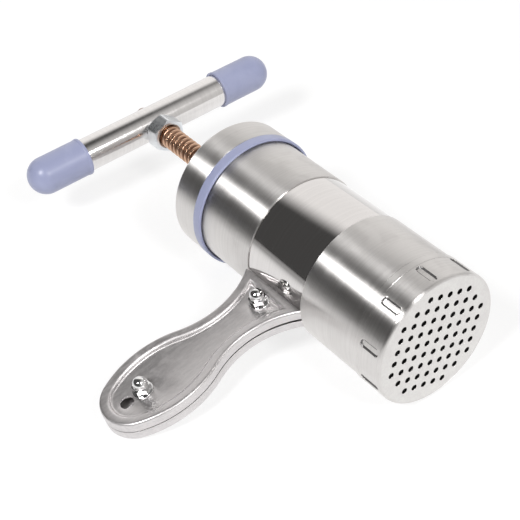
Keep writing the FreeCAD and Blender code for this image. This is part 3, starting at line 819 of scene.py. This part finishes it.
section = [(RING_FRONT, FLANGE_MOUTH_R, 0.3), (RING_FRONT, FLANGE_R, 0.7), (CAP_FRONT, FLANGE_R, 0.3),
           (CAP_FRONT, COLLAR_R), (COLLAR_BACK, COLLAR_R)]
section += rows(COLLAR_BACK, WEB_FRONT, THREAD_CLEAR_R) + [(WEB_FRONT, FLANGE_MOUTH_R)]
collar = lathe(section)
roll_thread(collar, (COLLAR_BACK, WEB_FRONT), THREAD_CLEAR_R, GROOVE_DEPTH)
finish_piece("lilac_ring", collar, lilac, "cap", "cap_thread_ring")

bush = lathe([(SWAGE_BACK, LEAD_BORE_R, 0.5), (SWAGE_BACK, SWAGE_R, 0.9), (CAP_BACK, SWAGE_R),
              (CAP_BACK, NUT_HOLE_R), (CAP_BACK + SHEET, NUT_HOLE_R), (CAP_BACK + SHEET, FOOT_R),
              (FOOT_FRONT, FOOT_R, 0.5), (FOOT_FRONT, BUSH_R), (BUSH_FRONT, BUSH_R, 0.8),
              (BUSH_FRONT, LEAD_BORE_R, 0.5)])
finish_piece("swaged_lead_nut", bush, zinc, "cap", "lead_nut")

# %% [markdown]
# ## The lead screw
# A screw thread can be a cylinder with a pattern on it, but its outline has to show the
# crests. Here one pitch of the flank is spun with a small step along the axis each time,
# so it climbs like a real thread. Doubling that turn along the axis gives the whole length,
# and neighbouring turns meet point on point. Two cuts square its ends. The tenon behind and
# the journal in front are turned parts of the same screw.

# %% Lead screw with its thread
THREAD_START = -192.6
THREAD_END = -68.2
SCREW_LEAD = 3.2
SCREW_SIDES = 40
THREAD_WELD = 0.01
TURNED_SIDES = 96
TENON_END = -218.6
TENON_TIP_R = 3.6
TENON_SHOULDER = -216.1
TENON_R = 5.0
NECK_BACK = -200.2
NECK_FRONT = -192.2
NECK_R = 5.35
COLLAR_ENDS = (-68.6, -67.6)
COLLAR_OUT = 5.3
JOURNAL_R = 4.0
JOURNAL_END = -57.6
CLIP_GROOVE = (-60.0, -59.0)
CLIP_GROOVE_R = 3.2


def helix(flank, lead, start, end, sides):
    """A right-handed thread: one pitch of flank corners, spun along the axis and cut
    square at both ends."""
    bm = bmesh.new()
    draw_line(bm, [(x + start - lead, r, *rest) for x, r, *rest in flank], False)
    bmesh.ops.spin(bm, geom=bm.verts[:] + bm.edges[:], cent=(0, 0, 0), axis=AXIS,
                   dvec=(lead / sides, 0, 0), angle=math.tau, steps=sides)
    double_up(bm, (end - start) / lead + 2, Matrix.Translation((lead, 0, 0)))
    bmesh.ops.remove_doubles(bm, verts=bm.verts, dist=THREAD_WELD)
    for x, side in ((start, -1), (end, 1)):
        bmesh.ops.bisect_plane(bm, geom=bm.verts[:] + bm.edges[:] + bm.faces[:], plane_co=(x, 0, 0),
                               plane_no=(side, 0, 0), clear_outer=True)
    bmesh.ops.holes_fill(bm, edges=[edge for edge in bm.edges if edge.is_boundary], sides=0)
    bmesh.ops.recalc_face_normals(bm, faces=bm.faces)
    return bm


FLANK = [(0.0, THREAD_ROOT_R), (0.62, THREAD_ROOT_R, 0.22), (1.12, THREAD_CREST_R, 0.26),
         (2.08, THREAD_CREST_R, 0.26), (2.58, THREAD_ROOT_R, 0.22), (SCREW_LEAD, THREAD_ROOT_R)]
screw = helix(FLANK, SCREW_LEAD, THREAD_START, THREAD_END, SCREW_SIDES)
tenon = [(TENON_END, 0), (TENON_END, TENON_TIP_R, 0.5), (TENON_SHOULDER, TENON_R), (NECK_BACK, TENON_R),
         (NECK_BACK, NECK_R), (NECK_FRONT, NECK_R), (NECK_FRONT, 0)]
journal = [(COLLAR_ENDS[0], 0), (COLLAR_ENDS[0], COLLAR_OUT), (COLLAR_ENDS[1], COLLAR_OUT, 0.4),
           (COLLAR_ENDS[1], JOURNAL_R), (CLIP_GROOVE[0], JOURNAL_R), (CLIP_GROOVE[0], CLIP_GROOVE_R),
           (CLIP_GROOVE[1], CLIP_GROOVE_R), (CLIP_GROOVE[1], JOURNAL_R), (JOURNAL_END, JOURNAL_R, 0.6),
           (JOURNAL_END, 0)]
for section in (tenon, journal):
    add_into(screw, lathe(section, TURNED_SIDES, closed=False))
finish_piece("threaded_screw", screw, bronze, "screw", "lead_screw")

# %% [markdown]
# ## The T-handle
# The tube is one more lathe, made along X and then turned to its place: across the screw,
# and a few degrees off level, as the screw happened to stop. The grips are caps with a
# domed end and a thin lip at the mouth. One section makes both, and a half turn brings the
# second one to the other side.

# %% Tube and grips
BEAM_X = -208.6
BEAM_R = 8.4
BEAM_BORE_R = 7.2
BEAM_HALF = 62.4
BEAM_TURN = math.radians(3.85)
GRIP_R = 9.4
GRIP_LIP_R = 9.65
GRIP_MOUTH = 40.7
GRIP_END = 71.6
GRIP_BORE_R = BEAM_R + 0.02
LIP_FRONT = GRIP_MOUTH + 1.3
LIP_FOOT = GRIP_MOUTH + 1.6
ALONG_Y = Matrix.Rotation(math.pi / 2, 4, "Z")
ACROSS = Matrix.Translation((BEAM_X, 0, 0)) @ Matrix.Rotation(BEAM_TURN, 4, "X") @ ALONG_Y
HALF_TURN = Matrix.Rotation(math.pi, 4, "Z")

tube = lathe([(-BEAM_HALF, BEAM_BORE_R), (BEAM_HALF, BEAM_BORE_R), (BEAM_HALF, BEAM_R, 0.3),
              (-BEAM_HALF, BEAM_R, 0.3)])
finish_piece("polished_tube", tube, tube_steel, "screw", "handle_beam", ACROSS)

for side, place in (("far", ACROSS), ("near", ACROSS @ HALF_TURN)):
    grip = lathe([(BEAM_HALF, 0), (BEAM_HALF, GRIP_BORE_R), (GRIP_MOUTH, GRIP_BORE_R, 0.15),
                  (GRIP_MOUTH, GRIP_LIP_R, 0.25), (LIP_FRONT, GRIP_LIP_R, 0.2), (LIP_FOOT, GRIP_R, 0.1),
                  (GRIP_END, GRIP_R, GRIP_R - 0.05), (GRIP_END, 0)], closed=False)
    finish_piece(side + "_grip", grip, lilac, "screw", side + "_grip_cap", place)

# %% [markdown]
# ## Hexagon nuts
# A nut's corners are cut back by a cone, which draws a curve on each flat. Rings of 96
# points make that exactly: each ring starts as a circle, and its points move out to the
# hexagon and down along the cone. Bridging ring to ring closes the nut. A domed nut is the
# same, with smaller and smaller rings on top.

# %% Locking nut
NUT_POINTS = 96
CHAMFER_SLOPE = math.tan(math.radians(30))
CORNER_EASE = 0.985
CHAMFER_LAND = 0.15


def hexagon_reach(angle, flats):
    """How far a hexagon's side is from its middle in one direction."""
    sixth = math.tau / 6
    from_flat = (angle + sixth / 2) % sixth - sixth / 2
    return min(flats / 2 / math.cos(from_flat), flats / math.sqrt(3) * CORNER_EASE)


def plain_ring(x, r):
    """A round ring at one height."""
    return lambda angle: (x, r)


def chamfer_ring(x, flats, side):
    """The curve of the chamfer's cone on the flats. side is +1 at the top, -1 below."""
    def shape(angle):
        reach = hexagon_reach(angle, flats)
        return x - side * (reach - flats / 2 + CHAMFER_LAND) * CHAMFER_SLOPE, reach
    return shape


def bridge_rings(shapes, join_ends=True):
    """Rings of points along X, each bridged to the next, and the last to the first."""
    bm = bmesh.new()
    rings = []
    for shape in shapes:
        verts = circle(bm, 0, 0, 0, 1.0, NUT_POINTS)
        for vert in verts:
            angle = math.atan2(vert.co.z, vert.co.y)
            x, r = shape(angle)
            vert.co = (x, r * math.cos(angle), r * math.sin(angle))
        rings.append(edges_of(verts))
    pairs = list(zip(rings, rings[1:])) + ([(rings[-1], rings[0])] if join_ends else [])
    for first, second in pairs:
        bmesh.ops.bridge_loops(bm, edges=first + second)
    return close_up(bm)


NUT_BACK = -200.2
NUT_FRONT = -192.0
NUT_FLATS = 16.0
NUT_BORE = 5.65
NUT_SINK = 0.9
NUT_FACE_RS = (NUT_FLATS / 2 - 0.4, NUT_FLATS / 2 - 0.3)

back_face = [plain_ring(NUT_BACK, r) for r in (NUT_BORE, *NUT_FACE_RS)]
front_face = [plain_ring(NUT_FRONT, r) for r in (*reversed(NUT_FACE_RS), NUT_BORE + NUT_SINK)]
flats = [chamfer_ring(NUT_BACK, NUT_FLATS, -1), chamfer_ring(NUT_FRONT, NUT_FLATS, 1)]
nut = bridge_rings(back_face + flats + front_face + [plain_ring(NUT_FRONT - NUT_SINK, NUT_BORE)])
finish_piece("hexagon_nut", nut, zinc, "screw", "locking_nut")

# %% [markdown]
# ## The piston
# A steel disc in a moulded guide pushes the dough. A flanged bush on its back takes the
# screw's journal, which turns in it while the piston only slides. The guide has two
# shallow grooves that keep the dough back.

# %% Piston
PISTON_FRONT = -54.0
PLATE_BACK = -57.0
GUIDE_BACK = -65.0
HUB_BACK = -67.0
GUIDE_R = 26.93
PLATE_R = 24.93
GROOVES = (-58.5, -61.5)
GROOVE_STEPS = ((0.7, 0), (0.5, 0.5), (-0.5, 0.5), (-0.7, 0))
GUIDE_BORE_R = 22.43
PLAY = 0.02
HUB_R = 10.0
HUB_BORE_R = 4.05
HUB_FLANGE_BACK = -59.0
HUB_FLANGE_R = 15.0
HUB_SEAT = -61.0
HUB_SEAT_R = 8.0

disc = lathe([(PISTON_FRONT, 0), (PISTON_FRONT, PLATE_R, 0.5), (PLATE_BACK, PLATE_R), (PLATE_BACK, 0)],
             closed=False)
finish_piece("piston_disc", disc, face_steel, "piston", "piston_plate")

section = [(PISTON_FRONT, PLATE_R + PLAY), (PISTON_FRONT, GUIDE_R, 0.6)]
for middle in GROOVES:
    section += [(middle + step, GUIDE_R - depth) for step, depth in GROOVE_STEPS]
section += [(GUIDE_BACK, GUIDE_R, 0.6), (GUIDE_BACK, GUIDE_BORE_R), (PLATE_BACK - PLAY, GUIDE_BORE_R),
            (PLATE_BACK - PLAY, PLATE_R + PLAY)]
finish_piece("piston_guide_ring", lathe(section), nylon, "piston", "piston_guide")

hub = lathe([(HUB_BACK, HUB_BORE_R, 0.4), (HUB_BACK, HUB_R, 0.8), (HUB_FLANGE_BACK, HUB_R, 0.6),
             (HUB_FLANGE_BACK, HUB_FLANGE_R, 0.5), (PLATE_BACK, HUB_FLANGE_R), (PLATE_BACK, HUB_SEAT_R),
             (HUB_SEAT, HUB_SEAT_R), (HUB_SEAT, HUB_BORE_R)])
finish_piece("piston_bush", hub, zinc, "piston", "piston_hub")

# %% [markdown]
# ## The side handle
# Two shells are pressed from sheet and meet on the handle's middle plane. Half of the
# outline is a straight root and three arcs that run into each other: the waist, the
# shoulder and the round end. A point spun about each centre in turn draws them. The inset
# tool would fold over itself in the sharp corners at the root, so the outline is drawn
# again for each inset, with the radii of its arcs changed by the inset.

# %% Handle outline
ROOT = 28.9
WAIST = (52.22, 55.0)
SHOULDER = (-28.047, 90.5)
END = (0.0, 104.5)
WAIST_R = 41.62
SHOULDER_R = 46.147
END_R = 14.8
ARC_STEPS = 40


def towards(centre, other, r):
    """Point on a circle in the direction of another point."""
    here = Vector(centre)
    return here + (Vector(other) - here).normalized() * r


def spin_arc(bm, point, centre, goal):
    """Carry a point round a centre to a goal, and leave an arc behind it."""
    middle = Vector((centre[0], -centre[1]))
    start = Vector(point.co.xy) - middle
    end = Vector((goal[0], -goal[1])) - middle
    made = bmesh.ops.spin(bm, geom=[point], cent=(*middle, 0), axis=(0, 0, 1), dvec=(0, 0, 0),
                          angle=-start.angle_signed(end), steps=ARC_STEPS)
    return made["geom_last"][0]


def half_outline(bm, inset, height):
    """Half of the outline, from the root's middle to the tip, half widths along X and the
    handle running along -Y. Returns its edges."""
    before = set(bm.edges)
    root = ROOT + inset
    corner = WAIST[0] - math.sqrt((WAIST_R + inset) ** 2 - (WAIST[1] - root) ** 2)
    middle = bm.verts.new((0, -root, height))
    point = bm.verts.new((corner, -root, height))
    bm.edges.new((middle, point))
    point = spin_arc(bm, point, WAIST, towards(WAIST, SHOULDER, WAIST_R + inset))
    point = spin_arc(bm, point, SHOULDER, towards(SHOULDER, END, SHOULDER_R - inset))
    spin_arc(bm, point, END, (0.0, END[1] + END_R - inset))
    return [edge for edge in bm.edges if edge not in before]


trial = bmesh.new()
length = sum(edge.calc_length() for edge in half_outline(trial, 0, 0))
trial.free()
print("half of the handle's outline is", round(length, 1), "mm long")

# %% [markdown]
# The shell's section is a short line of its own: up the side, round the rim, and down a
# step to the sunken panel. Each point of that line gives one outline, and bridging them in
# turn presses the sheet. A mirror adds the other half. The panel is filled between its edge
# and three holes, two for the screws and one to hang the press by. A Solidify modifier
# gives the sheet its thickness, and a narrow Bevel eases the cut edges. The back shell is
# the front one turned over. The two spring apart a little towards the barrel, so the dark
# seam between them is widest there.

# %% Handle shells
HANDLE_TOP = 5.3
RIM_WIDTH = 4.3
RIM_SLOPE = 0.9
PANEL_EDGE = RIM_WIDTH + RIM_SLOPE
PANEL_HEIGHT = 3.6
SEAM_HALF_GAP = 0.2
SEAM_SPRING = 0.45
SPRING_LENGTH = 60.0
SCREW_STATIONS = (37.9, 99.9)
HANG_STATION = 108.2
HANG_R = 3.0
SCREW_HOLE_R = 2.1
HOLES = [(station, SCREW_HOLE_R) for station in SCREW_STATIONS] + [(HANG_STATION, HANG_R)]
HOLE_POINTS = 48
CUT_EASE = 0.12 * MM
CUT_ANGLE = math.radians(60)
DROOP = math.radians(13.387)
TURN_TO_DROOP = Matrix.Rotation(DROOP, 4, "X")
PRESSED_SECTION = [(0, SEAM_HALF_GAP), (0, HANDLE_TOP, 1.25), (RIM_WIDTH, HANDLE_TOP, 0.95),
                   (PANEL_EDGE, PANEL_HEIGHT, 0.5), (PANEL_EDGE + 0.9, PANEL_HEIGHT)]


def walk(bm):
    """Places of an open wire's points, in order from its lower end."""
    here = min((vert for vert in bm.verts if len(vert.link_edges) == 1), key=lambda vert: vert.co.z)
    places, last = [here.co.copy()], None
    while last is None or len(here.link_edges) > 1:
        last = next(edge for edge in here.link_edges if edge is not last)
        here = last.other_vert(here)
        places.append(here.co.copy())
    return places


def pressed_shell():
    """The front shell before its thickness, in the handle's own plane."""
    section = bmesh.new()
    draw_line(section, PRESSED_SECTION, closed=False)
    steps = walk(section)
    section.free()
    bm = bmesh.new()
    outlines = [half_outline(bm, place.x, place.z) for place in steps]
    for lower, upper in zip(outlines, outlines[1:]):
        bmesh.ops.bridge_loops(bm, edges=lower + upper)
    bmesh.ops.mirror(bm, geom=bm.verts[:] + bm.edges[:] + bm.faces[:], axis="X", merge_dist=WELD)
    panel_edges = [edge for edge in bm.edges if edge.is_boundary and edge.verts[0].co.z > PANEL_HEIGHT - 0.1]
    for station, r in HOLES:
        hole = bmesh.ops.create_circle(bm, cap_ends=False, radius=r, segments=HOLE_POINTS,
                                       matrix=Matrix.Translation((0, -station, PANEL_HEIGHT)))
        panel_edges += edges_of(hole["verts"])
    panel = bmesh.ops.triangle_fill(bm, use_beauty=True, edges=panel_edges, normal=(0, 0, 1))["geom"]
    bmesh.ops.recalc_face_normals(bm, faces=bm.faces)
    if only(BMFace, panel)[0].normal.z < 0:
        bmesh.ops.reverse_faces(bm, faces=bm.faces)
    for vert in bm.verts:
        if vert.co.z < SEAM_HALF_GAP + WELD:
            vert.co.z += SEAM_SPRING * max(0.0, 1 + (vert.co.y + ROOT) / SPRING_LENGTH) ** 2
    bmesh.ops.translate(bm, vec=(HANDLE_X, 0, 0), verts=bm.verts)
    return bm


for side in ("front", "back"):
    shell = pressed_shell()
    if side == "back":
        bmesh.ops.scale(shell, vec=(1, 1, -1), verts=shell.verts)
        bmesh.ops.reverse_faces(shell, faces=shell.faces)
    piece = finish_piece(side + "_handle_shell", shell, handle_steel, "barrel",
                         "handle_" + side + "_shell", TURN_TO_DROOP)
    wall = piece.modifiers.new("sheet", "SOLIDIFY")
    wall.thickness = SHEET * MM
    wall.offset = -1.0
    wall.use_even_offset = True
    ease = piece.modifiers.new("eased_edges", "BEVEL")
    ease.width = CUT_EASE
    ease.segments = 2
    ease.limit_method = "ANGLE"
    ease.angle_limit = CUT_ANGLE

# %% [markdown]
# ## The handle's fasteners
# Each screw comes from the back and ends in a domed nut on the front, with a washer under
# it. They are lathes and rings made along X and then stood up on the handle's panel.

# %% Washers and domed nuts
WASHER_R = 4.5
WASHER_HEIGHT = 0.8
DOME_R = 3.2
DOME_BASE = 4.0
DOME_FLATS = 7.0
DOME_NUT_HEIGHT = 3.2
BLIND_DEPTH = 4.9
DOME_STEPS = 10
SCREW_R = 2.0
STAND_UP = Matrix.Rotation(-math.pi / 2, 4, "Y")


def on_panel(station, height):
    """Place of a part whose axis stands on the handle's panel."""
    return TURN_TO_DROOP @ Matrix.Translation((HANDLE_X, -station, height)) @ STAND_UP


washers = bmesh.new()
domed_nuts = bmesh.new()
for station in SCREW_STATIONS:
    washer = lathe([(0, SCREW_HOLE_R), (0, WASHER_R, 0.15), (WASHER_HEIGHT, WASHER_R, 0.25),
                    (WASHER_HEIGHT, SCREW_HOLE_R)], TURNED_SIDES)
    add_into(washers, washer, on_panel(station, PANEL_HEIGHT))
    rings = [plain_ring(BLIND_DEPTH, 0), plain_ring(BLIND_DEPTH, SCREW_R), plain_ring(0, SCREW_R),
             plain_ring(0, DOME_FLATS / 2 - 0.2), chamfer_ring(0, DOME_FLATS, -1),
             chamfer_ring(DOME_NUT_HEIGHT, DOME_FLATS, 1),
             plain_ring(DOME_NUT_HEIGHT, DOME_FLATS / 2 - 0.15), plain_ring(DOME_NUT_HEIGHT + 0.1, DOME_R)]
    for step in range(DOME_STEPS + 1):
        angle = math.pi / 2 * step / DOME_STEPS
        rings.append(plain_ring(DOME_BASE + DOME_R * math.sin(angle), DOME_R * math.cos(angle)))
    domed = bridge_rings(rings, join_ends=False)
    add_into(domed_nuts, domed, on_panel(station, PANEL_HEIGHT + WASHER_HEIGHT))
finish_piece("washers", washers, nickel, "barrel", "handle_washers")
finish_piece("domed_nuts", domed_nuts, nickel, "barrel", "handle_cap_nuts")

# %% [markdown]
# ## Parts kept from the frame
# The parts that hardly show keep their own meshes and get a finish that suits them.

# %% Finishes for the frame's own parts
KEPT = {
    "lower_spacer_ring": nylon,
    "upper_spacer_ring": nylon,
    "handle_bracket": raw_steel,
    "handle_spacer": raw_steel,
    "handle_screws": nickel,
    "retaining_clip": raw_steel,
}
for node, finish in KEPT.items():
    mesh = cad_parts[node].data
    mesh.materials.clear()
    mesh.materials.append(finish)
print("kept nodes:", ", ".join(sorted(KEPT)))
